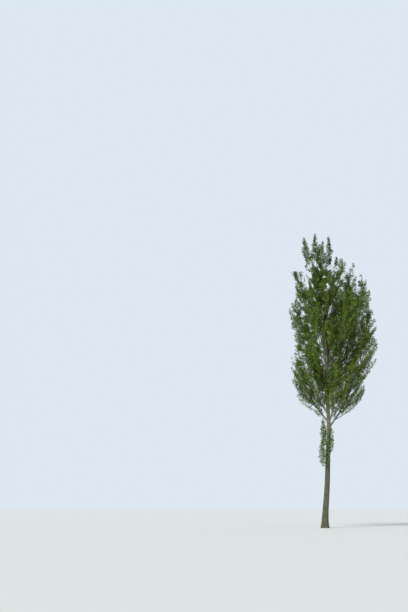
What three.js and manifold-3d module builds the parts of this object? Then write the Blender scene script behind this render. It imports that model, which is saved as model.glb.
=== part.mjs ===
// A tall poplar: one long clean stem that leans a little low down and straightens above, ascending boughs that
// turn upright, and a crown of many narrow upright masses of foliage that end in separate spires.
// Millimetres, +Z up. The origin is the middle of the flat cut under the stem at ground level.
// Seen along +Y, +X is to the right.
import * as THREE from "three";
import { mergeVertices } from "three/addons/utils/BufferGeometryUtils.js";
import Module from "manifold-3d";

const wasm = await Module();
wasm.setup();

// ---- driving dimensions, in metres and degrees -------------------------------------------------------------
const M = 1000; // millimetres in a metre
const TOP = 27.75; // tip of the stem
const TRUNK_RADIUS = 0.262; // under the bark at the butt, before the flare is added
const TRUNK_TAPER = 1.1; // power of the taper
const FLARE = 0.12; // how far the root flare stands out at the ground
const FLARE_HEIGHT = 0.6; // height over which the flare fades
const BUTTRESSES = 5; // lobes of the flare
const BUTTRESS_DEPTH = 0.11; // share of the radius
const LEAN = 1.2; // how far the stem moves to the right in its lower half
const LEAN_HEIGHT = 6.2; // height scale of that sweep
const LEAN_POWER = 1.25;
const TOP_BACK = 0.4; // how far the top comes back to the left
const SWAY = 0.22; // gentle bend towards +Y
const BOUGH_SHARE = 0.46; // bough radius at its foot, as a share of the stem's there
const BOUGH_CURVE = 2.0; // 1 is a straight bough, 2 leaves low and turns upright
const GAP = 0.0004; // clearance between faces that touch
const TRUNK_SIDES = 13,
  TRUNK_RINGS = 31,
  BOUGH_SIDES = 7,
  MASS_SIDES = 10;

// One row for each bough: the height of its foot on the stem, the bearing it leaves on (0 is +X, 90 is +Y), how
// far out its tip stands, the height of the tip, the half width of its foliage, and the share of its length that
// is bare. A row with limb 0 is in leaf right from the stem, so it has a mass and no bough of its own.
const BOUGHS = [
  // lowest boughs, at the foot of the crown
  { name: "low_front", foot: 8.9, bearing: 280, reach: 2.1, tip: 14.4, half: 1.3, bare: 0.18, limb: 1 },
  { name: "low_right", foot: 8.6, bearing: 20, reach: 3.3, tip: 15.6, half: 1.45, bare: 0.18, limb: 1 },
  { name: "low_back_left", foot: 9.1, bearing: 140, reach: 2.7, tip: 15.6, half: 1.4, bare: 0.18, limb: 1 },
  { name: "lower_left", foot: 9.8, bearing: 206, reach: 2.8, tip: 17.0, half: 1.35, bare: 0.18, limb: 1 },
  { name: "lower_front_right", foot: 10.3, bearing: 333, reach: 4.1, tip: 17.9, half: 1.55, bare: 0.18, limb: 1 },
  { name: "lower_back", foot: 11.2, bearing: 76, reach: 3.0, tip: 18.5, half: 1.4, bare: 0.19, limb: 1 },
  { name: "lower_front_left", foot: 11.6, bearing: 246, reach: 3.0, tip: 19.3, half: 1.4, bare: 0.19, limb: 1 },
  // inside, beside the stem
  { name: "inner_front", foot: 13.0, bearing: 284, reach: 1.6, tip: 18.9, half: 1.05, bare: 0.05, limb: 0 },
  { name: "inner_right", foot: 11.6, bearing: 352, reach: 2.8, tip: 20.0, half: 1.25, bare: 0.05, limb: 0 },
  { name: "inner_left", foot: 11.8, bearing: 186, reach: 1.6, tip: 20.2, half: 0.95, bare: 0.05, limb: 0 },
  // middle of the crown, where it is widest
  { name: "middle_right", foot: 13.0, bearing: 8, reach: 4.65, tip: 20.6, half: 1.45, bare: 0.19, limb: 1 },
  { name: "middle_back_left", foot: 13.6, bearing: 130, reach: 3.0, tip: 20.5, half: 1.35, bare: 0.19, limb: 1 },
  { name: "middle_front_right", foot: 14.2, bearing: 303, reach: 3.5, tip: 21.1, half: 1.45, bare: 0.2, limb: 1 },
  { name: "middle_left", foot: 14.8, bearing: 173, reach: 2.6, tip: 21.3, half: 1.2, bare: 0.19, limb: 1 },
  { name: "middle_back_right", foot: 15.3, bearing: 44, reach: 3.6, tip: 21.8, half: 1.4, bare: 0.19, limb: 1 },
  { name: "upper_front_right", foot: 15.8, bearing: 340, reach: 4.0, tip: 21.8, half: 1.35, bare: 0.2, limb: 1 },
  { name: "upper_front_left", foot: 15.4, bearing: 236, reach: 2.95, tip: 22.2, half: 1.3, bare: 0.19, limb: 1 },
  { name: "upper_back", foot: 16.7, bearing: 98, reach: 2.7, tip: 23.0, half: 1.3, bare: 0.18, limb: 1 },
  { name: "upper_right", foot: 17.0, bearing: 7, reach: 4.1, tip: 23.8, half: 0.9, bare: 0.21, limb: 1 },
  { name: "upper_front", foot: 17.4, bearing: 270, reach: 2.6, tip: 23.4, half: 1.2, bare: 0.18, limb: 1 },
  // upper crown, whose tips stand apart
  { name: "high_left", foot: 17.8, bearing: 194, reach: 2.5, tip: 23.8, half: 0.95, bare: 0.19, limb: 1 },
  { name: "high_back_right", foot: 18.2, bearing: 26, reach: 3.3, tip: 24.1, half: 1.0, bare: 0.19, limb: 1 },
  { name: "high_right", foot: 18.6, bearing: 348, reach: 3.2, tip: 24.6, half: 0.95, bare: 0.19, limb: 1 },
  { name: "high_back_left", foot: 19.0, bearing: 148, reach: 2.15, tip: 24.4, half: 0.95, bare: 0.17, limb: 1 },
  { name: "high_front_right", foot: 19.3, bearing: 314, reach: 2.6, tip: 24.2, half: 0.92, bare: 0.17, limb: 1 },
  { name: "spire_back", foot: 19.6, bearing: 70, reach: 2.0, tip: 25.0, half: 0.95, bare: 0.05, limb: 0 },
  { name: "spire_right", foot: 19.8, bearing: 18, reach: 2.5, tip: 25.6, half: 0.62, bare: 0.05, limb: 0 },
  { name: "spire_front_left", foot: 20.1, bearing: 236, reach: 1.7, tip: 25.1, half: 0.6, bare: 0.05, limb: 0 },
  { name: "spire_front_right", foot: 20.4, bearing: 336, reach: 1.75, tip: 25.2, half: 0.52, bare: 0.05, limb: 0 },
  { name: "top_right", foot: 21.2, bearing: 6, reach: 1.25, tip: 27.8, half: 0.6, bare: 0.05, limb: 0 },
  { name: "top_left", foot: 21.4, bearing: 190, reach: 1.3, tip: 27.5, half: 0.68, bare: 0.05, limb: 0 },
  { name: "top_front", foot: 22.0, bearing: 300, reach: 0.9, tip: 26.8, half: 0.52, bare: 0.05, limb: 0 },
  { name: "top_back", foot: 22.3, bearing: 60, reach: 0.85, tip: 27.2, half: 0.5, bare: 0.05, limb: 0 },
];
// The foliage round the stem's own tip.
const LEADER = { foot: 22.4, tip: 28.0, half: 0.5 };
// Short leafy shoots straight out of the clean stem.
const TUFTS = [
  { name: "low_tuft_1", foot: 4.7, bearing: 232, reach: 0.6, tip: 7.5, half: 0.46 },
  { name: "low_tuft_2", foot: 5.9, bearing: 318, reach: 0.5, tip: 8.6, half: 0.4 },
  { name: "low_tuft_3", foot: 6.6, bearing: 110, reach: 0.55, tip: 9.5, half: 0.42 },
];

const BARK = new THREE.MeshStandardMaterial({ color: 0x8c8a76, roughness: 0.9, metalness: 0 });
const LEAF = new THREE.MeshStandardMaterial({ color: 0x4c5f28, roughness: 0.75, metalness: 0 });

// ---- shared shape functions ---------------------------------------------------------------------------------
const RAD = Math.PI / 180;
const clamp = (x, a, b) => Math.min(b, Math.max(a, x));
const smooth = (a, b, x) => {
  const t = clamp((x - a) / (b - a), 0, 1);
  return t * t * (3 - 2 * t);
};
// A repeatable stream of numbers from 0 to 1.
function stream(seed) {
  let a = seed >>> 0;
  return () => {
    a = (a + 0x6d2b79f5) >>> 0;
    let t = a;
    t = Math.imul(t ^ (t >>> 15), t | 1);
    t ^= t + Math.imul(t ^ (t >>> 7), t | 61);
    return ((t ^ (t >>> 14)) >>> 0) / 4294967296;
  };
}
// The stem's middle line and radius at height z, in metres.
const stem = (z) =>
  new THREE.Vector3(
    LEAN * (1 - Math.exp(-Math.pow(Math.max(z, 0) / LEAN_HEIGHT, LEAN_POWER))) -
      TOP_BACK * smooth(18.5, 24, z) +
      0.05 * Math.sin(z * 0.9) * smooth(2, 8, z),
    SWAY * Math.sin((z / TOP) * Math.PI * 1.2) + 0.05 * Math.sin(z * 0.7 + 1) * smooth(2, 8, z),
    z,
  );
const stemRadius = (z) =>
  TRUNK_RADIUS * Math.pow(clamp(1 - z / (TOP + 0.4), 0, 1), TRUNK_TAPER) + FLARE * Math.exp(-z / FLARE_HEIGHT) + 0.004;
const stemRadiusAt = (z, angle) =>
  stemRadius(z) *
  (1 + BUTTRESS_DEPTH * Math.exp(-z / (FLARE_HEIGHT * 0.9)) * Math.cos(BUTTRESSES * angle + 0.6 + 0.4 * Math.sin(angle)));

// A bough's middle line: u runs from 0 on the stem to 1 at the tip.
function boughPoint(b, u) {
  const foot = stem(b.foot),
    out = b.reach * (1 - Math.pow(1 - u, BOUGH_CURVE)),
    z = b.foot + (b.tip - b.foot) * u,
    side = 0.12 * b.reach * Math.sin(Math.PI * u) * Math.sin(b.foot * 5.1);
  return new THREE.Vector3(
    foot.x + out * Math.cos(b.bearing * RAD) - side * Math.sin(b.bearing * RAD),
    foot.y + out * Math.sin(b.bearing * RAD) + side * Math.cos(b.bearing * RAD),
    z,
  );
}
const boughRadius = (b, u) => BOUGH_SHARE * stemRadius(b.foot) * Math.pow(1 - u, 0.9) + 0.005;

// ---- making solids ------------------------------------------------------------------------------------------
// A closed mesh as one solid for cutting, and back.
function bare(geometry) {
  const g = geometry.clone();
  for (const name of ["normal", "uv"]) g.deleteAttribute(name);
  return mergeVertices(g, 1e-4);
}
function solid(geometry) {
  return new wasm.Manifold(
    new wasm.Mesh({
      numProp: 3,
      vertProperties: new Float32Array(geometry.getAttribute("position").array),
      triVerts: new Uint32Array(geometry.index.array),
    }),
  );
}
function geometryOf(made) {
  const m = made.getMesh();
  const g = new THREE.BufferGeometry();
  g.setAttribute("position", new THREE.BufferAttribute(new Float32Array(m.vertProperties), 3));
  g.setIndex(new THREE.BufferAttribute(new Uint32Array(m.triVerts), 1));
  g.computeVertexNormals();
  return g;
}
const largest = (made) => made.decompose().sort((a, b) => b.volume() - a.volume())[0];

// A round rod of unit radius, its rings moved along a path: point(t) and radius(t, angle) in metres, t from 0 to 1.
function rod(sides, rings, point, radius) {
  const g = bare(new THREE.CylinderGeometry(1, 1, 1, sides, rings));
  const p = g.getAttribute("position");
  for (let i = 0; i < p.count; i++) {
    const t = p.getY(i) + 0.5,
      angle = Math.atan2(-p.getZ(i), p.getX(i)),
      out = Math.hypot(p.getX(i), p.getZ(i)),
      c = point(t),
      r = radius(t, angle) * out;
    p.setXYZ(i, (c.x + r * Math.cos(angle)) * M, (c.y + r * Math.sin(angle)) * M, c.z * M);
  }
  return solid(g);
}
// Rings close together near the ground and further apart above. The lowest one is below the ground, and the
// stem is then cut off flat at the ground, which is its second ring.
function trunkHeight(t) {
  if (t < 0.5 / TRUNK_RINGS) return -0.2;
  const s = clamp((t * TRUNK_RINGS - 1) / (TRUNK_RINGS - 1), 0, 1);
  return s < 1e-4 ? 0 : TOP * (0.35 * s * s * s + 0.65 * Math.pow(s, 1.6));
}
function trunk(grown) {
  const whole = rod(
    TRUNK_SIDES,
    TRUNK_RINGS,
    (t) => stem(trunkHeight(t)),
    (t, angle) => stemRadiusAt(trunkHeight(t), angle) + grown,
  );
  const below = new THREE.BoxGeometry(4 * M, 4 * M, 1 * M).translate(0, 0, -0.5 * M);
  return whole.subtract(solid(bare(below)));
}

// ---- foliage masses -----------------------------------------------------------------------------------------
// Half width of a mass at share v of its height, from its flat foot to its pointed tip.
const massProfile = (v) =>
  (0.3 + 0.7 * smooth(0, 0.24, v)) * Math.pow(clamp(1 - v, 0, 1), 0.72) * (1 + 0.3 * smooth(0.15, 0.45, v));
const masses = [];
function addMass(name, axis, foot, tip, half, seed) {
  masses.push({ name, axis, foot, tip, half, seed, planes: [] });
}
for (const [k, b] of BOUGHS.entries())
  addMass(
    "mass_" + b.name,
    (z) => boughPoint(b, clamp((z - b.foot) / (b.tip - b.foot), 0, 1)),
    b.foot + (b.tip - b.foot) * b.bare,
    b.tip,
    b.half,
    100 + k,
  );
addMass("mass_leader", (z) => stem(Math.min(z, TOP)), LEADER.foot, LEADER.tip, LEADER.half, 7);
for (const [k, b] of TUFTS.entries())
  addMass(b.name, (z) => boughPoint(b, clamp((z - b.foot) / (b.tip - b.foot), 0, 1)), b.foot + 0.25, b.tip, b.half, 300 + k);

const halfAt = (m, z) => m.half * massProfile(clamp((z - m.foot) / (m.tip - m.foot), 0, 1));
// Two masses that would run into each other are both kept to their own side of one plane between them.
for (let i = 0; i < masses.length; i++)
  for (let j = i + 1; j < masses.length; j++) {
    const a = masses[i],
      b = masses[j],
      low = Math.max(a.foot, b.foot),
      high = Math.min(a.tip, b.tip);
    if (high - low < 0) continue;
    const n = new THREE.Vector2(),
      rows = [];
    let near = false;
    for (let k = 0; k <= 12; k++) {
      const z = low + ((high - low) * k) / 12,
        p = a.axis(z),
        q = b.axis(z),
        wa = halfAt(a, z) + 0.06,
        wb = halfAt(b, z) + 0.06,
        d = Math.hypot(q.x - p.x, q.y - p.y);
      if (d < (wa + wb) * 1.35) near = true;
      const weight = 1 / (0.05 + d * d);
      n.add(new THREE.Vector2(q.x - p.x, q.y - p.y).multiplyScalar(weight));
      rows.push({ z, p, q, wa, wb, weight });
    }
    if (!near) continue;
    n.normalize();
    // least squares line of the dividing distance along n, against height
    let s = 0,
      sz = 0,
      szz = 0,
      sc = 0,
      szc = 0;
    for (const r of rows) {
      const share = r.wa / (r.wa + r.wb),
        c = n.x * (r.p.x + (r.q.x - r.p.x) * share) + n.y * (r.p.y + (r.q.y - r.p.y) * share);
      s += r.weight;
      sz += r.weight * r.z;
      szz += r.weight * r.z * r.z;
      sc += r.weight * c;
      szc += r.weight * r.z * c;
    }
    const det = s * szz - sz * sz,
      slope = Math.abs(det) < 1e-9 ? 0 : (s * szc - sz * sc) / det,
      base = (sc - slope * sz) / s;
    a.planes.push({ nx: n.x, ny: n.y, slope, at: base - GAP / 2 });
    b.planes.push({ nx: -n.x, ny: -n.y, slope: -slope, at: -base - GAP / 2 });
  }
// Every mass but the leader's keeps clear of the stem, on its own side of it.
for (const m of masses) {
  if (m.name === "mass_leader") continue;
  const n = new THREE.Vector2();
  for (let k = 0; k <= 10; k++) {
    const z = m.foot + ((m.tip - m.foot) * k) / 10,
      p = m.axis(z),
      q = stem(Math.min(z, TOP));
    n.add(new THREE.Vector2(q.x - p.x, q.y - p.y).normalize());
  }
  n.normalize();
  let slope = 0,
    at = Infinity;
  for (let k = 0; k <= 40; k++) {
    const z = m.foot + ((m.tip - m.foot) * k) / 40,
      q = stem(Math.min(z, TOP));
    at = Math.min(at, n.x * q.x + n.y * q.y - stemRadius(Math.min(z, TOP)) * 1.08 - GAP);
  }
  m.planes.push({ nx: n.x, ny: n.y, slope, at });
}

// The block of space beyond a plane.
function beyond(q) {
  const normal = new THREE.Vector3(q.nx, q.ny, -q.slope),
    offset = q.at / normal.length();
  normal.normalize();
  const size = 60,
    g = new THREE.BoxGeometry(size * M, size * M, size * M);
  g.applyQuaternion(new THREE.Quaternion().setFromUnitVectors(new THREE.Vector3(0, 0, 1), normal));
  // level with the crown, so the block covers it
  const middle = new THREE.Vector3(0, 0, 20);
  middle.addScaledVector(normal, offset - middle.dot(normal) + size / 2);
  g.translate(middle.x * M, middle.y * M, middle.z * M);
  return solid(bare(g));
}
function massSolid(m) {
  const rnd = stream(m.seed),
    phase = [rnd() * 6.28, rnd() * 6.28, rnd() * 6.28, rnd() * 6.28],
    rings = Math.round(clamp((m.tip - m.foot) / 0.78, 4, 9)),
    // the rings' heights, closer at the two ends
    level = (k) => m.foot + (m.tip - m.foot) * (0.5 - 0.5 * Math.cos((Math.PI * (k + 0.4)) / (rings + 0.4))),
    profile = [new THREE.Vector2(0, 0)];
  for (let k = 0; k < rings; k++) profile.push(new THREE.Vector2(1, k));
  profile.push(new THREE.Vector2(0, rings));
  const g = bare(new THREE.LatheGeometry(profile, MASS_SIDES));
  const p = g.getAttribute("position");
  // a ring's centre, moved off any plane that it would be too near
  const centre = (z) => {
    const c = m.axis(z),
      keep = Math.min(0.09, halfAt(m, z) * 0.5 + 0.03);
    for (let pass = 0; pass < 30; pass++)
      for (const q of m.planes) {
        const over = q.nx * c.x + q.ny * c.y - q.slope * z - q.at + keep;
        if (over > 0) {
          c.x -= q.nx * over;
          c.y -= q.ny * over;
        }
      }
    return c;
  };
  for (let i = 0; i < p.count; i++) {
    const out = Math.hypot(p.getX(i), p.getZ(i)),
      step = Math.round(p.getY(i)),
      angle = Math.atan2(-p.getZ(i), p.getX(i));
    const foot = step === 0,
      tip = step >= rings,
      z = foot ? m.foot : tip ? m.tip : level(step),
      c = centre(tip ? m.tip - 0.02 : z);
    if (out < 0.5) {
      p.setXYZ(i, c.x * M, c.y * M, z * M);
      continue;
    }
    const v = (z - m.foot) / (m.tip - m.foot);
    let r =
      m.half *
      massProfile(v) *
      (1 +
        0.14 * Math.sin(2 * angle + phase[0] + 1.1 * z) +
        0.11 * Math.sin(3 * angle + phase[1] - 1.7 * z) +
        0.1 * Math.sin(phase[2] + 2.9 * z) +
        0.08 * Math.sin(5 * angle + phase[3] + 2.3 * z));
    r = Math.max(r, 0.05);
    const ux = Math.cos(angle),
      uy = Math.sin(angle);
    for (const q of m.planes) {
      const along = q.nx * ux + q.ny * uy;
      if (along > 1e-6) r = Math.min(r, (q.at + q.slope * z - q.nx * c.x - q.ny * c.y) / along);
    }
    r = Math.max(r, 0.01);
    p.setXYZ(i, (c.x + r * ux) * M, (c.y + r * uy) * M, z * M);
  }
  let made = solid(g);
  for (const q of m.planes) {
    let over = -1;
    for (let i = 0; i < p.count; i++)
      over = Math.max(over, (q.nx * p.getX(i) + q.ny * p.getY(i) - q.slope * p.getZ(i)) / M - q.at);
    if (over > 1e-6) made = largest(made.subtract(beyond(q)));
  }
  return made;
}

// ---- assembly -----------------------------------------------------------------------------------------------
const tree = new THREE.Group();
function put(name, made, material) {
  const mesh = new THREE.Mesh(geometryOf(made), material);
  mesh.name = name;
  tree.add(mesh);
}
const fullTrunk = trunk(0),
  grownTrunk = trunk(GAP);
put("trunk", fullTrunk, BARK);

const massBodies = new Map(masses.map((m) => [m.name, massSolid(m)]));
for (const name of ["mass_leader", ...TUFTS.map((t) => t.name)])
  massBodies.set(name, largest(massBodies.get(name).subtract(grownTrunk)));

// A bough runs from the stem to the flat foot of its own foliage. Where it passes through another mass on the
// way, that mass is cut round it.
for (const b of BOUGHS) {
  if (!b.limb) continue;
  const end = b.bare - GAP / (b.tip - b.foot);
  const made = (grown) =>
    rod(
      BOUGH_SIDES,
      5,
      (t) => boughPoint(b, end * t),
      (t) => boughRadius(b, end * t) + grown,
    );
  put("bough_" + b.name, largest(made(0).subtract(grownTrunk)), BARK);
  const grown = made(GAP);
  for (const [name, body] of massBodies) {
    if (name === "mass_" + b.name) continue;
    if (body.intersect(grown).volume() > 0) massBodies.set(name, largest(body.subtract(grown)));
  }
}
for (const m of masses) put(m.name, massBodies.get(m.name), LEAF);

export default tree;
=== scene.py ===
"""A tall poplar in leaf: bark with relief on the stem and boughs, and boughs, branches, twigs and leaves that grow
on from the limbs by a seeded branching rule in the place of each foliage mass. Metres, +Z up."""

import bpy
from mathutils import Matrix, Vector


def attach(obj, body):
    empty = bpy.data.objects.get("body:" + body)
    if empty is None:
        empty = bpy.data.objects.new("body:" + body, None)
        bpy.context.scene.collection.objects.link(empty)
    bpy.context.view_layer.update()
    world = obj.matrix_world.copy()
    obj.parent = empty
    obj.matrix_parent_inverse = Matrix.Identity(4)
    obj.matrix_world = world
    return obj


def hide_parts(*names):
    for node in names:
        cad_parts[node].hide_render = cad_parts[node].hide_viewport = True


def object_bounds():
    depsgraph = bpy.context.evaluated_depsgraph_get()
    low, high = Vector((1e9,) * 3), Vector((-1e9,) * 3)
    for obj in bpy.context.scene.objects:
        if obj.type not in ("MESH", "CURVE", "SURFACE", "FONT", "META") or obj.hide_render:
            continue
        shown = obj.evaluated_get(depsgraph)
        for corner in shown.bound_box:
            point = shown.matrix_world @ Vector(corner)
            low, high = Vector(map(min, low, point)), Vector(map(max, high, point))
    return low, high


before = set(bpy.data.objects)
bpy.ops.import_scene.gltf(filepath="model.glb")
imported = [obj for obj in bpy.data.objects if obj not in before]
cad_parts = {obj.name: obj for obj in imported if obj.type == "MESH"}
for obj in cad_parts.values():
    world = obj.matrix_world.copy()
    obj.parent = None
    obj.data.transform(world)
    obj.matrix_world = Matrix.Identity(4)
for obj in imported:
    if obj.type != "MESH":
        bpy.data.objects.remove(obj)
CAD_BOX = [list(v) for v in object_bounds()]

import math

import bpy
import numpy as np

# ---------------------------------------------------------------- sizes, the same as the solids are made from
TOP = 27.75
TRUNK_RADIUS, TRUNK_TAPER = 0.262, 1.1
FLARE, FLARE_HEIGHT = 0.12, 0.6
BUTTRESSES, BUTTRESS_DEPTH = 5, 0.11
LEAN, LEAN_HEIGHT, LEAN_POWER = 1.2, 6.2, 1.25
TOP_BACK, SWAY = 0.4, 0.22
BOUGH_SHARE, BOUGH_CURVE = 0.46, 2.0
# name, foot on the stem, bearing, reach, tip height, half width of its foliage, bare share, has a limb of its own
BOUGHS = [
    ("low_front", 8.9, 280, 2.1, 14.4, 1.3, 0.18, 1),
    ("low_right", 8.6, 20, 3.3, 15.6, 1.45, 0.18, 1),
    ("low_back_left", 9.1, 140, 2.7, 15.6, 1.4, 0.18, 1),
    ("lower_left", 9.8, 206, 2.8, 17.0, 1.35, 0.18, 1),
    ("lower_front_right", 10.3, 333, 4.1, 17.9, 1.55, 0.18, 1),
    ("lower_back", 11.2, 76, 3.0, 18.5, 1.4, 0.19, 1),
    ("lower_front_left", 11.6, 246, 3.0, 19.3, 1.4, 0.19, 1),
    ("inner_front", 13.0, 284, 1.6, 18.9, 1.05, 0.05, 0),
    ("inner_right", 11.6, 352, 2.8, 20.0, 1.25, 0.05, 0),
    ("inner_left", 11.8, 186, 1.6, 20.2, 0.95, 0.05, 0),
    ("middle_right", 13.0, 8, 4.65, 20.6, 1.45, 0.19, 1),
    ("middle_back_left", 13.6, 130, 3.0, 20.5, 1.35, 0.19, 1),
    ("middle_front_right", 14.2, 303, 3.5, 21.1, 1.45, 0.2, 1),
    ("middle_left", 14.8, 173, 2.6, 21.3, 1.2, 0.19, 1),
    ("middle_back_right", 15.3, 44, 3.6, 21.8, 1.4, 0.19, 1),
    ("upper_front_right", 15.8, 340, 4.0, 21.8, 1.35, 0.2, 1),
    ("upper_front_left", 15.4, 236, 2.95, 22.2, 1.3, 0.19, 1),
    ("upper_back", 16.7, 98, 2.7, 23.0, 1.3, 0.18, 1),
    ("upper_right", 17.0, 7, 4.1, 23.8, 0.9, 0.21, 1),
    ("upper_front", 17.4, 270, 2.6, 23.4, 1.2, 0.18, 1),
    ("high_left", 17.8, 194, 2.5, 23.8, 0.95, 0.19, 1),
    ("high_back_right", 18.2, 26, 3.3, 24.1, 1.0, 0.19, 1),
    ("high_right", 18.6, 348, 3.2, 24.6, 0.95, 0.19, 1),
    ("high_back_left", 19.0, 148, 2.15, 24.4, 0.95, 0.17, 1),
    ("high_front_right", 19.3, 314, 2.6, 24.2, 0.92, 0.17, 1),
    ("spire_back", 19.6, 70, 2.0, 25.0, 0.95, 0.05, 0),
    ("spire_right", 19.8, 18, 2.5, 25.6, 0.62, 0.05, 0),
    ("spire_front_left", 20.1, 236, 1.7, 25.1, 0.6, 0.05, 0),
    ("spire_front_right", 20.4, 336, 1.75, 25.2, 0.52, 0.05, 0),
    ("top_right", 21.2, 6, 1.25, 27.8, 0.6, 0.05, 0),
    ("top_left", 21.4, 190, 1.3, 27.5, 0.68, 0.05, 0),
    ("top_front", 22.0, 300, 0.9, 26.8, 0.52, 0.05, 0),
    ("top_back", 22.3, 60, 0.85, 27.2, 0.5, 0.05, 0),
]
LEADER = (22.4, 28.0, 0.5)
TUFTS = [
    ("low_tuft_1", 4.7, 232, 0.6, 7.5, 0.46),
    ("low_tuft_2", 5.9, 318, 0.5, 8.6, 0.4),
    ("low_tuft_3", 6.6, 110, 0.55, 9.5, 0.42),
]
TIERS = ["low", "lower", "middle", "upper", "high", "spire", "top"]

# The camera, and the places where the crown is open: their middles and half sizes on the plane through
# the stem that faces the camera.
CAMERA, TILT, LENS = (-10.44, -54.9, 1.6), 18.79, 35.0
GAPS = [
    (0.62, 16.75, 0.18, 0.36),
    (0.74, 14.95, 0.155, 0.6),
    (-1.24, 15.5, 0.12, 0.24),
    (1.72, 22.4, 0.17, 0.22),
    (-0.77, 19.5, 0.13, 0.26),
    (-0.2, 18.3, 0.1, 0.16),
    (0.35, 21.0, 0.12, 0.14),
    (-0.26, 22.7, 0.17, 0.28),
    (0.1, 23.5, 0.21, 0.36),
    (0.2, 22.4, 0.14, 0.18),
    (0.14, 24.4, 0.16, 0.3),
    (0.75, 24.6, 0.16, 0.3),
]
# Where the pale stem shows through the front of the crown, in the same terms.
GLIMPSES = [
    (1.15, 13.75, 0.19, 0.75),
    (1.17, 15.6, 0.27, 1.45),
    (1.12, 19.3, 0.13, 0.8),
    (0.95, 9.6, 0.5, 0.5),
]

OPENINGS = np.random.default_rng(77).random((60, 90))  # random heights that the small openings are cut from
GOLDEN = math.radians(137.5)
Z = np.array([0.0, 0.0, 1.0])


def smooth(a, b, x):
    t = np.clip((np.asarray(x, float) - a) / (b - a), 0, 1)
    return t * t * (3 - 2 * t)


def unit(v):
    return v / np.maximum(np.linalg.norm(v, axis=-1, keepdims=True), 1e-9)


def stem(z):
    z = np.asarray(z, float)
    x = (
        LEAN * (1 - np.exp(-((np.maximum(z, 0) / LEAN_HEIGHT) ** LEAN_POWER)))
        - TOP_BACK * smooth(18.5, 24, z)
        + 0.05 * np.sin(z * 0.9) * smooth(2, 8, z)
    )
    y = SWAY * np.sin(z / TOP * math.pi * 1.2) + 0.05 * np.sin(z * 0.7 + 1) * smooth(2, 8, z)
    return np.stack([x, y, z], -1)


def stem_radius(z):
    z = np.asarray(z, float)
    return TRUNK_RADIUS * np.clip(1 - z / (TOP + 0.4), 0, 1) ** TRUNK_TAPER + FLARE * np.exp(-z / FLARE_HEIGHT) + 0.004


def bough_axis(b, u, wander=0.0):
    """The middle line of a bough, u from 0 on the stem to 1 at its tip."""
    name, foot, bearing, reach, tip = b[:5]
    bare = b[6] if len(b) > 6 else 0.2
    u = np.asarray(u, float)
    out = reach * (1 - np.clip(1 - u, 0, 1) ** BOUGH_CURVE)
    side = 0.12 * reach * np.sin(math.pi * u) * math.sin(foot * 5.1)
    c, s = math.cos(math.radians(bearing)), math.sin(math.radians(bearing))
    p = stem(foot) + np.stack([out * c - side * s, out * s + side * c, (tip - foot) * u], -1)
    w = wander * smooth(bare, bare + 0.3, u)
    p[..., 0] += w * np.sin(9.1 * u + foot * 3.3)
    p[..., 1] += w * np.sin(7.7 * u + foot * 2.1)
    return p


def bough_radius(b, u):
    return BOUGH_SHARE * float(stem_radius(b[1])) * np.clip(1 - np.asarray(u, float), 0, 1) ** 0.9 + 0.005


def mass_profile(v):
    v = np.asarray(v, float)
    return (0.3 + 0.7 * smooth(0, 0.24, v)) * np.clip(1 - v, 0, 1) ** 0.72 * (1 + 0.3 * smooth(0.15, 0.45, v))


def in_a_gap(p, edge=1.0):
    """Whether points stand in front of or behind a place where the crown is open, or in front of one where the stem
    shows. The places have uneven outlines; edge, one number or one for each point, moves their borders in or out."""
    p = np.atleast_2d(p)
    t = (0 - CAMERA[1]) / (p[:, 1] - CAMERA[1])
    x = CAMERA[0] + (p[:, 0] - CAMERA[0]) * t
    z = CAMERA[2] + (p[:, 2] - CAMERA[2]) * t
    x, z = x + 0.07 * np.sin(8.3 * z + 1.0) + 0.04 * np.sin(21 * z), z + 0.08 * np.sin(13 * x + 2.0)
    hit = np.zeros(len(p), bool)
    for gx, gz, hx, hz in GAPS:
        hit |= ((x - gx) / hx) ** 2 + ((z - gz) / hz) ** 2 < edge
    for gx, gz, hx, hz in GLIMPSES:
        hit |= (((x - gx) / hx) ** 2 + ((z - gz) / hz) ** 2 < edge) & (p[:, 1] < 0.3)
    return hit


def thin(p, rng, share):
    """Which points fall in the many small openings of the upper crown and of its left flank, as a share of those
    there."""
    p = np.atleast_2d(p)
    t = (0 - CAMERA[1]) / (p[:, 1] - CAMERA[1])
    x = CAMERA[0] + (p[:, 0] - CAMERA[0]) * t
    z = CAMERA[2] + (p[:, 2] - CAMERA[2]) * t

    def heights(wide, high):
        fz = (z - 12) / high
        fx = (x + 6) / wide + 0.5 * np.sin(fz * 1.7)
        ix = np.clip(np.floor(fx).astype(int), 0, OPENINGS.shape[0] - 2)
        iz = np.clip(np.floor(fz).astype(int), 0, OPENINGS.shape[1] - 2)
        tx, tz = smooth(0, 1, fx - ix), smooth(0, 1, fz - iz)
        n = (OPENINGS[ix, iz] * (1 - tx) + OPENINGS[ix + 1, iz] * tx) * (1 - tz)
        return n + (OPENINGS[ix, iz + 1] * (1 - tx) + OPENINGS[ix + 1, iz + 1] * tx) * tz

    upper = smooth(0.5, 0.68, heights(0.3, 0.42)) * smooth(21.2, 22.4, z) * smooth(25.6, 24.2, z)
    left = smooth(0.7, 0.8, heights(0.17, 0.25)) * smooth(0.3, -0.3, x) * smooth(13, 14.5, z) * smooth(22, 20.5, z)
    return rng.random(len(p)) < share * np.maximum(upper, left)


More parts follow.
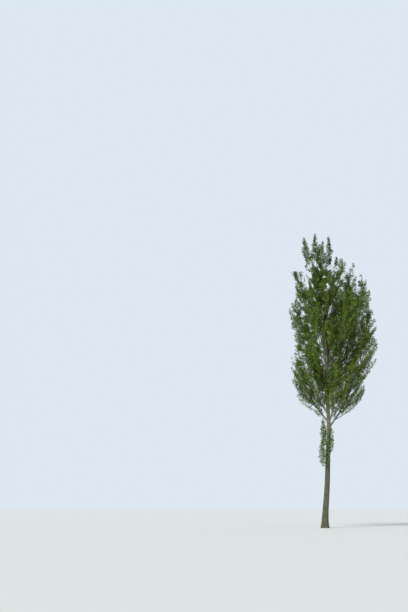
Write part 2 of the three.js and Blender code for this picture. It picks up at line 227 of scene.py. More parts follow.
# ---------------------------------------------------------------- meshes from arrays
def make_object(name, verts, faces, materials, index=None, shade_smooth=True, floats=None):
    """One object from an array of points and one of faces that all have the same number of corners."""
    verts, faces = np.asarray(verts, np.float32), np.asarray(faces, np.int32)
    me = bpy.data.meshes.new(name)
    n, k = faces.shape
    me.vertices.add(len(verts))
    me.vertices.foreach_set("co", verts.ravel())
    me.loops.add(n * k)
    me.loops.foreach_set("vertex_index", faces.ravel())
    me.polygons.add(n)
    me.polygons.foreach_set("loop_start", np.arange(0, n * k, k, dtype=np.int32))
    me.update(calc_edges=True)
    me.polygons.foreach_set("use_smooth", np.full(n, bool(shade_smooth)))
    for m in materials:
        me.materials.append(m)
    if index is not None:
        me.polygons.foreach_set("material_index", np.asarray(index, np.int32))
    for key, values in (floats or {}).items():
        a = me.attributes.new(key, "FLOAT", "POINT")
        a.data.foreach_set("value", np.asarray(values, np.float32).ravel())
    me.validate()
    o = bpy.data.objects.new(name, me)
    bpy.context.scene.collection.objects.link(o)
    return o


def tubes(paths, radii, sides):
    """Tapered tubes that end in a point: paths (m, k, 3) and radii (m, k). Gives points and triangles."""
    m, k, _ = paths.shape
    t = unit(np.gradient(paths, axis=1))
    ref = unit(np.array([0.83, 0.51, 0.22]))
    e1 = unit(np.cross(t, ref))
    e2 = np.cross(t, e1)
    a = np.arange(sides) / sides * 2 * math.pi
    ring = np.cos(a)[None, None, :, None] * e1[:, :, None, :] + np.sin(a)[None, None, :, None] * e2[:, :, None, :]
    body = paths[:, : k - 1, None, :] + radii[:, : k - 1, None, None] * ring[:, : k - 1]
    verts = np.concatenate([body.reshape(m, -1, 3), paths[:, -1:, :]], axis=1)
    per = (k - 1) * sides + 1
    i = np.arange(sides)
    j = (i + 1) % sides
    tris = []
    for r in range(k - 2):
        a0, b0 = r * sides + i, r * sides + j
        a1, b1 = a0 + sides, b0 + sides
        tris += [np.stack([a0, b0, b1], 1), np.stack([a0, b1, a1], 1)]
    last = (k - 2) * sides
    tris.append(np.stack([last + i, last + j, np.full(sides, per - 1)], 1))
    tris = np.concatenate(tris)
    every = (tris[None] + (np.arange(m) * per)[:, None, None]).reshape(-1, 3)
    return verts.reshape(-1, 3), every, len(tris)


def field(z, angle, cell, round_cells, seed):
    """A smooth random field from -1 to 1 over height and angle, closed round the stem."""
    rng = np.random.default_rng(seed)
    rows = int(32 / cell) + 4
    g = rng.random((rows, round_cells)) * 2 - 1
    fz = np.clip(z, 0, 31) / cell
    fa = (angle / (2 * math.pi)) % 1.0 * round_cells
    iz, ia = np.floor(fz).astype(int), np.floor(fa).astype(int)
    tz, ta = fz - iz, fa - ia
    tz, ta = tz * tz * (3 - 2 * tz), ta * ta * (3 - 2 * ta)
    i0, i1 = ia % round_cells, (ia + 1) % round_cells
    return (g[iz, i0] * (1 - ta) + g[iz, i1] * ta) * (1 - tz) + (g[iz + 1, i0] * (1 - ta) + g[iz + 1, i1] * ta) * tz


# ---------------------------------------------------------------- materials
def principled(name):
    m = bpy.data.materials.new(name)
    m.use_nodes = True
    n = m.node_tree.nodes
    return m, m.node_tree, n["Principled BSDF"]


def srgb(r, g, b):
    return tuple((c / 12.92 if c <= 0.04045 else ((c + 0.055) / 1.055) ** 2.4) for c in (r, g, b)) + (1.0,)


def plain(name, colour, roughness, specular=0.5):
    m, _, p = principled(name)
    p.inputs["Base Color"].default_value = srgb(*colour)
    p.inputs["Roughness"].default_value = roughness
    p.inputs["Specular IOR Level"].default_value = specular
    return m


def bark(name, low, high, fissure, streak_scale, bump, lenticels):
    """Bark: pale and dark streaks along the limb, fine fibres, broad patches, small dark lenticels across the limb,
    and a darker tone in the fissures and scars of the mesh."""
    m, tree, p = principled(name)
    new, link = tree.nodes.new, tree.links.new

    def node(kind, **values):
        n = new(kind)
        for k, v in values.items():
            setattr(n, k, v)
        return n

    def noise(scale, detail, roughness):
        stretch = node("ShaderNodeMapping")
        stretch.inputs["Scale"].default_value = scale
        link(where.outputs["Object"], stretch.inputs["Vector"])
        n = node("ShaderNodeTexNoise")
        n.inputs["Scale"].default_value = 1.0
        n.inputs["Detail"].default_value = detail
        n.inputs["Roughness"].default_value = roughness
        link(stretch.outputs["Vector"], n.inputs["Vector"])
        return n.outputs["Fac"]

    def spread(value, a, b, lo, hi):
        n = node("ShaderNodeMapRange", interpolation_type="SMOOTHSTEP")
        for key, v in (("From Min", a), ("From Max", b), ("To Min", lo), ("To Max", hi)):
            n.inputs[key].default_value = v
        link(value, n.inputs["Value"])
        return n.outputs["Result"]

    def times(one, other):
        n = node("ShaderNodeMath", operation="MULTIPLY")
        link(one, n.inputs[0])
        link(other, n.inputs[1])
        return n.outputs["Value"]

    def mixed(kind, factor, one, other):
        n = node("ShaderNodeMix", data_type="RGBA", blend_type=kind)
        for key, v in (("Factor", factor), ("A", one), ("B", other)):
            if isinstance(v, (float, tuple)):
                n.inputs[key].default_value = v
            else:
                link(v, n.inputs[key])
        return n.outputs["Result"]

    def ramp(value, a, low_colour, b, high_colour):
        n = node("ShaderNodeValToRGB")
        n.color_ramp.elements[0].position, n.color_ramp.elements[0].color = a, low_colour
        n.color_ramp.elements[1].position, n.color_ramp.elements[1].color = b, high_colour
        link(value, n.inputs["Fac"])
        return n.outputs["Color"]

    where = node("ShaderNodeTexCoord")
    streaks = noise(streak_scale, 8.0, 0.68)
    fibres = noise(tuple(v * 4.5 for v in streak_scale), 4.0, 0.6)
    patches = noise((1.3, 1.3, 0.9), 3.0, 0.5)
    colour = ramp(streaks, 0.36, srgb(*low), 0.64, srgb(*high))
    colour = mixed("MULTIPLY", 1.0, colour, ramp(fibres, 0.3, (0.84, 0.84, 0.83, 1), 0.7, (1.08, 1.08, 1.07, 1)))
    # broad patches of a greener and of a greyer cast
    colour = mixed("MULTIPLY", 1.0, colour, ramp(patches, 0.38, (0.89, 0.92, 0.82, 1), 0.62, (1.05, 1.02, 0.99, 1)))

    # lenticels: short marks across the limb, in drifts
    spots_at = node("ShaderNodeMapping")
    spots_at.inputs["Scale"].default_value = lenticels
    link(where.outputs["Object"], spots_at.inputs["Vector"])
    spots = node("ShaderNodeTexVoronoi", feature="F1")
    spots.inputs["Scale"].default_value = 1.0
    link(spots_at.outputs["Vector"], spots.inputs["Vector"])
    marks = times(spread(spots.outputs["Distance"], 0.13, 0.24, 1.0, 0.0), spread(noise((2.6, 2.6, 5.0), 2.0, 0.5), 0.47, 0.58, 0.0, 0.8))

    # smooth young bark, higher on the stem, is paler than the bark of the butt; the strong paling, up to three times,
    # is also painted light on the stem inside the crown, where the leaves shade it
    young_bark_and_painted_light = node("ShaderNodeAttribute", attribute_name="young_bark_and_painted_light").outputs["Fac"]
    colour = mixed("MIX", young_bark_and_painted_light, colour, mixed("MULTIPLY", 1.0, colour, (3.1, 3.05, 2.85, 1)))

    # the fissures, knots and branch scars that the mesh itself has
    relief = node("ShaderNodeAttribute", attribute_name="dark").outputs["Fac"]
    colour = mixed("MIX", marks, colour, srgb(*fissure))
    colour = mixed("MIX", relief, colour, srgb(*fissure))
    link(colour, p.inputs["Base Color"])

    link(spread(streaks, 0.2, 0.8, 0.95, 0.78), p.inputs["Roughness"])
    p.inputs["Specular IOR Level"].default_value = 0.3

    height = node("ShaderNodeMath", operation="SUBTRACT")
    link(streaks, height.inputs[0])
    link(marks, height.inputs[1])
    raised = node("ShaderNodeBump")
    raised.inputs["Strength"].default_value = bump
    raised.inputs["Distance"].default_value = 0.01
    link(height.outputs["Value"], raised.inputs["Height"])
    link(raised.outputs["Normal"], p.inputs["Normal"])
    return m


TRUNK_BARK = bark("bark_trunk", (0.295, 0.30, 0.24), (0.445, 0.45, 0.37), (0.13, 0.125, 0.10), (18.0, 18.0, 2.6), 0.7, (15.0, 15.0, 34.0))
BOUGH_BARK = bark("bark_boughs", (0.36, 0.36, 0.295), (0.53, 0.53, 0.45), (0.17, 0.165, 0.13), (20.0, 20.0, 7.0), 0.45, (26.0, 26.0, 40.0))
WOOD = [
    plain("branch_grey", (0.34, 0.345, 0.26), 0.85, 0.25),
    plain("branch_brown", (0.31, 0.29, 0.20), 0.85, 0.25),
    plain("twig_olive", (0.31, 0.325, 0.17), 0.7, 0.3),
]
# leaf tints from dark to pale, dealt out by tint_for: partly the leaves' own uneven tone, partly painted light and
# painted shade
LEAF_TINTS = [
    plain("leaf_deep", (0.25, 0.342, 0.08), 0.62, 0.25),
    plain("leaf_dark", (0.30, 0.398, 0.10), 0.6, 0.25),
    plain("leaf_mid", (0.35, 0.454, 0.125), 0.58, 0.25),
    plain("leaf_fresh", (0.40, 0.504, 0.15), 0.56, 0.3),
    plain("leaf_light", (0.455, 0.544, 0.20), 0.55, 0.3),
    plain("leaf_grey", (0.43, 0.49, 0.275), 0.64, 0.25),
]


# ---------------------------------------------------------------- the stem
def build_trunk():
    sides = 128
    z = np.concatenate(
        [
            np.linspace(0, 1.2, 50, endpoint=False),
            np.linspace(1.2, 5, 110, endpoint=False),
            np.linspace(5, 12, 112, endpoint=False),
            np.linspace(12, TOP, 108),
        ]
    )
    a = np.arange(sides) / sides * 2 * math.pi
    zz, aa = np.meshgrid(z, a, indexing="ij")
    plain_r = stem_radius(zz)
    r = plain_r * (
        1 + BUTTRESS_DEPTH * np.exp(-zz / (FLARE_HEIGHT * 0.9)) * np.cos(BUTTRESSES * aa + 0.6 + 0.4 * np.sin(aa))
    )
    rng = np.random.default_rng(21)
    old = 1 - smooth(0.8, 8.5, zz)  # the bark is furrowed at the butt and smooth above
    swell = field(zz, aa, 0.9, 9, 13)
    lumps = field(zz, aa, 0.21, 17, 12)
    r = r + plain_r / 0.25 * (0.006 * swell + 0.0025 * lumps)
    # long furrows that wander up the stem, meet and part
    furrows = 26
    depth = np.zeros_like(zz)
    for k in range(furrows):
        at = 2 * math.pi * (k + rng.uniform(-0.25, 0.25)) / furrows
        for wave, size in ((1.9, 0.05), (0.83, 0.055), (0.37, 0.035), (0.16, 0.012)):
            at = at + size * np.sin(2 * math.pi * zz / wave * rng.uniform(0.85, 1.15) + rng.random() * 6.28)
        here = np.zeros_like(zz)
        for wave in (1.3, 0.57, 0.29):
            here = here + np.sin(2 * math.pi * zz / wave * rng.uniform(0.8, 1.2) + rng.random() * 6.28)
        here = smooth(-0.9, 0.5, here) * smooth(0.02, 0.2, old * rng.uniform(0.55, 1.0) + 0.1 * here)
        away = (aa - at + math.pi) % (2 * math.pi) - math.pi
        depth = np.maximum(depth, here * np.exp(-((away * plain_r / 0.012) ** 2)))
    r = r - 0.014 * depth * (0.35 + 0.65 * old)
    dark = 0.8 * depth * (0.4 + 0.6 * old)
    # scars and knots where the low branches were shed, each a raised lip round a sunken eye, with brows beside it
    for _ in range(38):
        sz, sa = 1.4 + 12.5 * rng.random() ** 0.9, rng.random() * 2 * math.pi
        size = rng.uniform(0.03, 0.06)
        da = (aa - sa + math.pi) % (2 * math.pi) - math.pi
        x, y = da * stem_radius(sz), zz - sz
        d = np.sqrt((x / size) ** 2 + (y / (size * 0.8)) ** 2)
        r = r + 0.3 * size * np.exp(-((d - 1) ** 2) * 4) - 0.25 * size * np.exp(-(d**2) * 3)
        dark = np.maximum(dark, 0.85 * np.exp(-(d**2) * 2.2))
        brow = np.exp(-(((y - 0.4 * size + np.abs(x) * 0.9) / (0.22 * size)) ** 2)) * np.clip(1 - np.abs(x) / (size * 3.2), 0, 1)
        dark = np.maximum(dark, 0.6 * brow)
    # darker close to the ground
    dark = np.clip(dark + 0.22 * np.exp(-zz / 0.3), 0, 1)
    c = stem(z)
    verts = np.stack([c[:, None, 0] + r * np.cos(aa), c[:, None, 1] + r * np.sin(aa), zz], -1)
    rows = len(z)
    i, j = np.meshgrid(np.arange(rows - 1), np.arange(sides), indexing="ij")
    j2 = (j + 1) % sides
    quads = np.stack([i * sides + j, i * sides + j2, (i + 1) * sides + j2, (i + 1) * sides + j], -1).reshape(-1, 4)
    # a flat end at the ground and a point at the top, both out of quads round a middle point
    verts = verts.reshape(-1, 3)
    mid = len(verts)
    verts = np.concatenate([verts, [c[0], c[-1] + [0, 0, 0.01]]])
    k = np.arange(0, sides, 2)
    foot = np.stack([np.full(len(k), mid), (k + 2) % sides, k + 1, k], 1)
    top = (rows - 1) * sides
    cap = np.stack([np.full(len(k), mid + 1), top + k, top + k + 1, top + (k + 2) % sides], 1)
    # the bark pales most from 9.8 to 13 m, where the crown's shade falls on the stem: paler young bark and painted
    # light together
    o = make_object(
        "trunk_bark",
        verts,
        np.concatenate([quads, foot, cap]),
        [TRUNK_BARK],
        floats={"dark": np.concatenate([dark.ravel(), [0.3, 0.3]]), "young_bark_and_painted_light": 0.2 * smooth(5, 9, verts[:, 2]) + 0.8 * smooth(9.8, 13, verts[:, 2])},
    )
    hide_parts("trunk")
    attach(o, "root")


# ---------------------------------------------------------------- the boughs
def build_boughs():
    groups = {}
    for n, b in enumerate(BOUGHS):
        groups.setdefault(tier_of(b[0]), []).append((n, b))
    for tier, rows_in in groups.items():
        verts, faces, dark, start = [], [], [], 0
        for n, b in rows_in:
            sides, rows = 14, 64
            u = np.linspace(0, 1, rows) ** 1.15
            p = bough_axis(b, u, WANDER)
            t = unit(np.gradient(p, axis=0))
            e1 = unit(np.cross(t, [0.3, -0.2, 0.05]))
            e2 = np.cross(t, e1)
            a = np.arange(sides) / sides * 2 * math.pi
            length = np.concatenate([[0], np.cumsum(np.linalg.norm(np.diff(p, axis=0), axis=1))])
            # the collar where the bough leaves the stem
            r = bough_radius(b, u) * (1 + 0.45 * np.exp(-np.clip(length - float(stem_radius(b[1])), 0, 9) / 0.12))
            lz, aa = np.meshgrid(length, a, indexing="ij")
            f1, f2 = field(lz, aa, 0.22, 7, 40 + n), field(lz, aa, 0.06, 10, 90 + n)
            rr = r[:, None] * (1 + 0.10 * f1 + 0.07 * f2)
            ring = np.cos(aa)[..., None] * e1[:, None] + np.sin(aa)[..., None] * e2[:, None]
            v = (p[:, None] + rr[..., None] * ring).reshape(-1, 3)
            i, j = np.meshgrid(np.arange(rows - 1), np.arange(sides), indexing="ij")
            j2 = (j + 1) % sides
            q = np.stack([i * sides + j, i * sides + j2, (i + 1) * sides + j2, (i + 1) * sides + j], -1).reshape(-1, 4)
            verts.append(v)
            faces.append(q + start)
            dark.append(np.clip(0.6 * smooth(0.5, 0.8, f2) + 0.35 * smooth(0.3, 0.9, -f1), 0, 1).ravel())
            start += len(v)
        o = make_object(
            "boughs_" + tier,
            np.concatenate(verts),
            np.concatenate(faces),
            [BOUGH_BARK],
            floats={"dark": np.concatenate(dark), "young_bark_and_painted_light": np.full(start, 0.17)},
        )
        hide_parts(*["bough_" + b[0] for n, b in rows_in if b[7]])
        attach(o, "root")


def tier_of(name):
    first = name.split("_")[0]
    return {"inner": "lower"}.get(first, first)


# ---------------------------------------------------------------- branches, twigs and leaves
WANDER = 0.07
BRANCH_STEP = 0.145  # along the bough, between branches
TWIG_STEP = 0.1  # along a branch, between twigs
LEAF_STEP = 0.03  # along a twig, between leaves
LEAF_LENGTH = 0.112


class Tier:
    def __init__(self):
        self.branch_paths, self.branch_radii = [], []
        # twigs: foot, direction, length, upward curve, radius, tint of the spray
        self.twigs = []


tiers = {t: Tier() for t in TIERS}
tiers["tufts"] = Tier()


# a tint for a spray: the light value picks paler tints as painted light and darker ones as painted shade; the spread
# round it is the leaves' own uneven tone
def tint_for(rng, light):
    return int(np.clip(round(rng.normal(1.1 + 2.0 * light, 0.95)), 0, 5))


def add_twigs(tier, rng, points, reach_limit, tint, first, size, step):
    """Twigs along one branch, given as points from its foot to its tip."""
    d = np.linalg.norm(np.diff(points, axis=0), axis=1)
    s = np.concatenate([[0], np.cumsum(d)])
    total = s[-1]
    tangents = unit(np.gradient(points, axis=0))
    at, turn = max(first * total, 0.08), rng.random() * 6.28
    while at < total - 0.03:
        p = np.array([np.interp(at, s, points[:, k]) for k in range(3)])
        t = unit(np.array([np.interp(at, s, tangents[:, k]) for k in range(3)]))
        e1 = unit(np.cross(t, [0.31, 0.22, 0.05]))
        e2 = np.cross(t, e1)
        off = math.radians(rng.uniform(34, 58))
        around = math.cos(turn) * e1 + math.sin(turn) * e2
        direction = unit(math.cos(off) * t + math.sin(off) * around + 0.22 * Z)
        share = at / total
        length = size * rng.uniform(0.55, 1.1) * (1.0 - 0.45 * share)
        length = min(length, reach_limit(p, direction))
        middle = p + direction * length * 0.6
        if length > 0.07 and not in_a_gap(middle)[0] and not thin(middle, rng, 0.7)[0]:
            own = int(np.clip(tint + rng.choice([-2, -1, -1, 0, 0, 0, 1, 1, 2]), 0, 5))
            tier.twigs.append((p, direction, length, rng.uniform(0.12, 0.34), 0.0035 + 0.004 * length, own))
        at += step * rng.uniform(0.7, 1.3)
        turn += GOLDEN + rng.normal(0, 0.25)
    # the branch's own tip is leafy too
    t = tangents[-1]
    own = int(np.clip(tint + 1, 0, 5))
    if not in_a_gap(points[-1])[0]:
        tier.twigs.append((points[-1] - t * 0.04, t, max(0.12, size * 0.55), 0.1, 0.004, own))


def grow(tier, rng, axis, low, foot, tip, half, wood, step, inward=None, size=0.5, ragged=0.0):
    """Branches off one bough's middle line between two heights, out to the edge of its foliage. Ragged growth has
    steeper and less even branches with shorter twigs."""
    z, turn = low, rng.random() * 6.28

    def width(h):
        return half * float(mass_profile(min(max((h - foot) / (tip - foot), 0.0), 1.0)))

    def reach_limit(p, direction):
        """How far a twig may go before it stands clear of the foliage's outline."""
        c = axis(min(p[2], tip))
        here = math.hypot(p[0] - c[0], p[1] - c[1])
        room = width(min(p[2] + 0.2, tip - 0.15)) * 1.2 + 0.16 + 0.08 * ragged - here
        flat = math.hypot(direction[0], direction[1])
        return max(0.16, room / max(flat, 0.15))

    while z < tip - 0.3:
        up = ragged * smooth(0.3, 0.75, (z - foot) / (tip - foot))
        rise = rng.uniform(1.15, 2.0) + 1.3 * up
        reach = width(z + 0.5)
        for _ in range(4):
            reach = width(min(z + rise * reach, tip - 0.05)) * 0.95
        reach *= rng.uniform(0.64 - 0.25 * up, 1.16 + 0.2 * up)
        d = np.array([math.cos(turn), math.sin(turn), 0.0])
        if inward is not None:
            to_stem = inward(z) - axis(z)
            to_stem[2] = 0
            if float(unit(to_stem) @ d) > 0.45:
                reach *= 0.95
        reach = max(reach, 0.07)
        t = np.linspace(0, 1, 7)
        zt = np.minimum(z + rise * reach * (0.6 * t + 0.4 * t * t), tip - 0.02)
        rt = reach * (1 - (1 - t) ** 1.6)
        pts = axis(zt) + rt[:, None] * d
        bend = np.cross(d, Z) * rng.normal(0, 0.06) * reach
        pts = pts + np.sin(t * math.pi)[:, None] * bend
        pts[:, 2] = zt
        length = float(np.linalg.norm(np.diff(pts, axis=0), axis=1).sum())
        r0 = min(0.006 + 0.0085 * length, wood(z) * 0.6)
        radii = r0 * (1 - t) ** 0.8 + 0.003
        if (not in_a_gap(pts[1:]).any() or rng.random() < 0.2) and not thin(pts[4], rng, 0.5)[0]:
            tier.branch_paths.append(pts)
            tier.branch_radii.append(radii)
            # painted shade: leaves get darker tints from 18.5 to 24 m, for the backlit top of the crown; the random
            # share is their own uneven tone
            light = 0.64 - 0.82 * float(smooth(18.5, 24, z)) + 0.25 * rng.random()
            tint = tint_for(rng, light)
            first = 0.3 if reach > 0.6 else 0.12
            lift = max(first, (foot - 0.45 - z) / max(rise * reach, 0.1))
            span = min(size, 0.2 + reach * 0.55) * (1 - 0.3 * up)
            add_twigs(tier, rng, pts, reach_limit, tint, min(lift, 0.8), span, TWIG_STEP)
        z += step * rng.uniform(0.75 - 0.3 * up, 1.25 + 0.9 * up)
        turn += GOLDEN + rng.normal(0, 0.2)


def leafy_tip(tier, rng, axis, low, high, size):
    """Short twigs close along the top of a bough."""
    z, turn = low, rng.random() * 6.28
    # painted shade: tips higher than 19 m get darker tints, for the backlit top of the crown
    tint = tint_for(rng, 0.6 - 0.6 * float(smooth(19, 24, high)))
    while z < high - 0.05:
        p = axis(z)
        t = unit(axis(z + 0.05) - axis(z - 0.05))
        e1 = unit(np.cross(t, [0.31, 0.22, 0.05]))
        e2 = np.cross(t, e1)
        off = math.radians(rng.uniform(22, 44))
        direction = unit(math.cos(off) * t + math.sin(off) * (math.cos(turn) * e1 + math.sin(turn) * e2))
        share = (z - low) / (high - low)
        length = min(size * rng.uniform(0.6, 1.1) * (1 - 0.6 * share), high + 0.1 - z)
        if length > 0.06 and not in_a_gap(p)[0]:
            tier.twigs.append((p, direction, length, 0.2, 0.004, int(np.clip(tint + rng.choice([-1, 0, 0, 1]), 0, 5))))
        z += rng.uniform(0.07, 0.12)
        turn += GOLDEN + rng.normal(0, 0.3)
    top = axis(high - 0.12)
    tier.twigs.append((top, unit(axis(high) - axis(high - 0.1)), 0.14, 0.0, 0.003, tint))


def grow_crown():
    for n, b in enumerate(BOUGHS):
        name, foot, bearing, reach, tip, half, bare, limb = b
        rng = np.random.default_rng(1000 + n)
        tier = tiers[tier_of(name)]

        def axis(z, b=b, foot=foot, tip=tip):
            return bough_axis(b, np.clip((np.asarray(z, float) - foot) / (tip - foot), 0, 1), WANDER)

        def wood(z, b=b, foot=foot, tip=tip):
            return float(bough_radius(b, (z - foot) / (tip - foot)))

        mass_foot = foot + (tip - foot) * bare
        low = foot + (mass_foot - foot) * 0.5
        ragged = float(smooth(20.5, 24.5, tip)) * (1 - 0.6 * float(smooth(25.5, 26.5, tip)))
        step = BRANCH_STEP * {"low": 0.85, "lower": 0.85, "top": 0.8}.get(tier_of(name), 1.0)
        grow(tier, rng, axis, low, mass_foot, tip, half, wood, step, inward=stem, size=0.52, ragged=ragged)
        leafy_tip(tier, rng, axis, tip - min(1.5, (tip - foot) * 0.25), tip, 0.3 - 0.06 * ragged)
    # the stem's own tip
    rng = np.random.default_rng(2000)
    top = tiers["top"]

    def leader(z):
        return stem(np.minimum(z, TOP + 0.25))

    grow(top, rng, leader, LEADER[0] - 0.5, LEADER[0], LEADER[1], LEADER[2], lambda z: float(stem_radius(z)), 0.12, size=0.4)
    leafy_tip(top, rng, leader, 26.6, LEADER[1] - 0.05, 0.26)
    # short leafy branches on the stem inside the crown
    rng = np.random.default_rng(2100)
    z, turn = 10.2, 0.4
    while z < 22.5:
        d = np.array([math.cos(turn), math.sin(turn), 0.0])
        wide = smooth(9.5, 13, z) * (1 - 0.55 * smooth(18, 22, z))
        reach, rise = rng.uniform(0.45, 0.6 + 1.9 * wide), rng.uniform(0.9, 1.6)
        t = np.linspace(0, 1, 7)
        pts = stem(z) + (reach * (1 - (1 - t) ** 1.6))[:, None] * d
        pts[:, 2] = z + rise * reach * (0.6 * t + 0.4 * t * t)
        name = "lower" if z < 12.5 else "middle" if z < 16.5 else "upper" if z < 19.5 else "high"
        if not in_a_gap(pts[1:]).any():
            tiers[name].branch_paths.append(pts)
            tiers[name].branch_radii.append((0.007 + 0.009 * reach) * (1 - t) ** 0.8 + 0.003)
            # painted light: the leaves on these inner branches get pale tints, to lift the shade inside the crown
            tint = tint_for(rng, 0.85)
            add_twigs(tiers[name], rng, pts, lambda p, q: 9.0, tint, 0.3, 0.42, 0.13)
        z += rng.uniform(0.05, 0.11)
        turn += GOLDEN + rng.normal(0, 0.3)
    # leafy shoots straight out of the clean stem
    for n, b in enumerate(TUFTS):
        rng = np.random.default_rng(2200 + n)
        name, foot, bearing, reach, tip, half = b

        def axis(z, b=b, foot=foot, tip=tip):
            return bough_axis(b[:5], np.clip((np.asarray(z, float) - foot) / (tip - foot), 0, 1))

        u = np.linspace(0, 1, 7)
        tiers["tufts"].branch_paths.append(bough_axis(b[:5], u))
        tiers["tufts"].branch_radii.append(0.014 * (1 - u) ** 0.8 + 0.003)
        grow(tiers["tufts"], rng, axis, foot + 0.15, foot + 0.25, tip, half, lambda z: 0.012, 0.1, inward=stem, size=0.3)
        leafy_tip(tiers["tufts"], rng, axis, tip - 0.5, tip, 0.2)


def leaves_on(twigs, rng):
    """Leaves in a spiral along twigs. Gives the points, the triangles and a tint for each triangle."""
    foot = np.array([t[0] for t in twigs])
    way = np.array([t[1] for t in twigs])
    length = np.array([t[2] for t in twigs])
    curve = np.array([t[3] for t in twigs])
    tint = np.array([t[5] for t in twigs])
    count = np.maximum(4, np.round(length / LEAF_STEP)).astype(int)
    who = np.repeat(np.arange(len(twigs)), count)
    order = np.arange(len(who)) - np.repeat(np.cumsum(count) - count, count)
    n = len(who)
    s = (order + 0.8 + rng.random(n) * 0.4) / (count[who] + 0.6)
    s = 0.12 + 0.88 * np.clip(s, 0, 1)
    L = length[who][:, None]
    w = way[who]
    p = foot[who] + L * (w * s[:, None] + Z * (curve[who] * s * s)[:, None])
    t = unit(w + Z * (2 * curve[who] * s)[:, None])
    e1 = unit(np.cross(t, np.array([0.31, 0.22, 0.05])))
    e2 = np.cross(t, e1)
    turn = order * GOLDEN + (who * 2.399) % 6.283 + rng.normal(0, 0.25, n)
    around = np.cos(turn)[:, None] * e1 + np.sin(turn)[:, None] * e2
    # stalks stand out and sag, and the blades hang from them at every angle
    stalk = unit(around * 0.8 + t * 0.45 + Z * -0.15 + rng.normal(0, 0.2, (n, 3)))
    size = LEAF_LENGTH * rng.uniform(0.72, 1.16, n) * (1.08 - 0.25 * s)
    blade = unit(stalk * 0.75 + Z * -0.62 + rng.normal(0, 0.33, (n, 3)))
    side = unit(np.cross(blade, Z + rng.normal(0, 0.5, (n, 3))))
    face = np.cross(side, blade)
    fold = rng.uniform(0.08, 0.32, n)
    base = p + stalk * (size * rng.uniform(0.35, 0.6, n))[:, None]
    wide = (size * rng.uniform(0.44, 0.54, n))[:, None]
    l = size[:, None]
    lift = face * (fold * size * 0.5)[:, None]
    curl = -face * (size * rng.uniform(-0.02, 0.14, n))[:, None]
    v = np.stack(
        [
            p - side * 0.0016,
            p + side * 0.0016,
            base,
            base + blade * l * 0.2 + side * wide + lift,
            base + blade * l * 0.58 + side * wide * 0.62 + lift * 0.7 + curl * 0.3,
            base + blade * l + curl,
            base + blade * l * 0.58 - side * wide * 0.62 + lift * 0.7 + curl * 0.3,
            base + blade * l * 0.2 - side * wide + lift,
        ],
        1,
    )
    tri = np.array([[0, 1, 2], [2, 3, 4], [2, 4, 5], [2, 5, 6], [2, 6, 7]])
    lo, hi = np.array(CAD_BOX[0]) - 0.1, np.array(CAD_BOX[1]) + 0.1
    # a few leaves hang on into the gaps, and the gaps thin the leaves round them
    edge = np.where(rng.random(n) < 0.1, -1.0, rng.uniform(0.5, 1.7, n))
    keep = ((v > lo) & (v < hi)).all((1, 2)) & ~in_a_gap(base, edge) & ~thin(base, rng, 0.6)
    v, who = v[keep], who[keep]
    n = len(v)
    faces = (tri[None] + (np.arange(n) * 8)[:, None, None]).reshape(-1, 3)
    return v.reshape(-1, 3), faces, np.repeat(tint[who], len(tri))


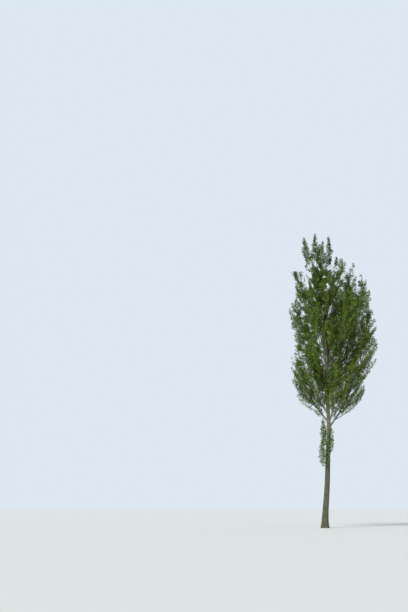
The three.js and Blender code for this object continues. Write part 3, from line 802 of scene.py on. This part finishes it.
def build_crown():
    counts = {}
    for k, (name, tier) in enumerate(tiers.items()):
        rng = np.random.default_rng(3000 + k)
        nodes = (
            [t[0] for t in TUFTS]
            if name == "tufts"
            else ["mass_" + b[0] for b in BOUGHS if tier_of(b[0]) == name] + (["mass_leader"] if name == "top" else [])
        )
        # branches and twigs
        paths, radii = np.array(tier.branch_paths), np.array(tier.branch_radii)
        v1, f1, per1 = tubes(paths, radii, 5)
        foot = np.array([t[0] for t in tier.twigs])
        way = np.array([t[1] for t in tier.twigs])
        length = np.array([t[2] for t in tier.twigs])
        curve = np.array([t[3] for t in tier.twigs])
        thick = np.array([t[4] for t in tier.twigs])
        s = np.array([0.0, 0.5, 1.0])
        tw = foot[:, None] + length[:, None, None] * (way[:, None] * s[None, :, None] + Z * (curve[:, None] * s * s)[..., None])
        v2, f2, per2 = tubes(tw, thick[:, None] * (1.0 - 0.6 * s)[None], 3)
        index = np.concatenate([np.repeat(np.arange(len(paths)) % 2, per1), np.full(len(f2), 2)])
        o = make_object("twigs_" + name, np.concatenate([v1, v2]), np.concatenate([f1, f2 + len(v1)]), WOOD, index)
        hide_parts(*nodes)
        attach(o, "root")
        # leaves, one piece for each tier of the crown
        v, f, tint = leaves_on(tier.twigs, rng)
        o = make_object("leaves_" + name, v, f, LEAF_TINTS, tint, shade_smooth=False)
        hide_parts(*nodes)
        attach(o, "root")
        counts[name] = (len(tier.twigs), len(f) // 5, len(f), len(f1) + len(f2))
    return counts


# ---------------------------------------------------------------- floor, light and camera
def build_stage():
    round_ = np.arange(96) / 96 * 2 * math.pi
    edge = np.stack([1200 * np.cos(round_), 1200 * np.sin(round_), np.full(96, -0.002)], 1)
    k = np.arange(96)
    floor = make_object(
        "floor",
        np.concatenate([edge, [(0, 0, -0.002)]]),
        np.stack([np.full(96, 96), k, (k + 1) % 96], 1),
        [plain("floor_pale", (0.80, 0.80, 0.78), 0.9, 0.2)],
        shade_smooth=False,
    )
    world = bpy.data.worlds.new("studio")
    bpy.context.scene.world = world
    world.use_nodes = True
    bg = world.node_tree.nodes["Background"]
    bg.inputs["Color"].default_value = srgb(0.86, 0.90, 0.94)
    bg.inputs["Strength"].default_value = 1.02
    key = bpy.data.lights.new("key", "SUN")
    key.energy, key.angle, key.color = 2.2, math.radians(20), (1.0, 0.98, 0.94)
    ko = bpy.data.objects.new("key", key)
    ko.rotation_euler = (math.radians(46), 0, math.radians(-38))
    bpy.context.scene.collection.objects.link(ko)
    cam = bpy.data.cameras.new("camera")
    cam.lens, cam.sensor_width, cam.clip_start, cam.clip_end = LENS, 36.0, 0.5, 3000
    co = bpy.data.objects.new("camera", cam)
    co.location = CAMERA
    co.rotation_euler = (math.radians(90 + TILT), 0, 0)
    bpy.context.scene.collection.objects.link(co)
    bpy.context.scene.camera = co
    bpy.context.scene.view_settings.view_transform = "Standard"
    bpy.context.scene.view_settings.look = "None"


build_stage()
build_trunk()
grow_crown()
build_boughs()
made = build_crown()
print("twigs, leaves, leaf triangles, wood triangles:", made)
print("in all:", [int(sum(v[i] for v in made.values())) for i in range(4)])
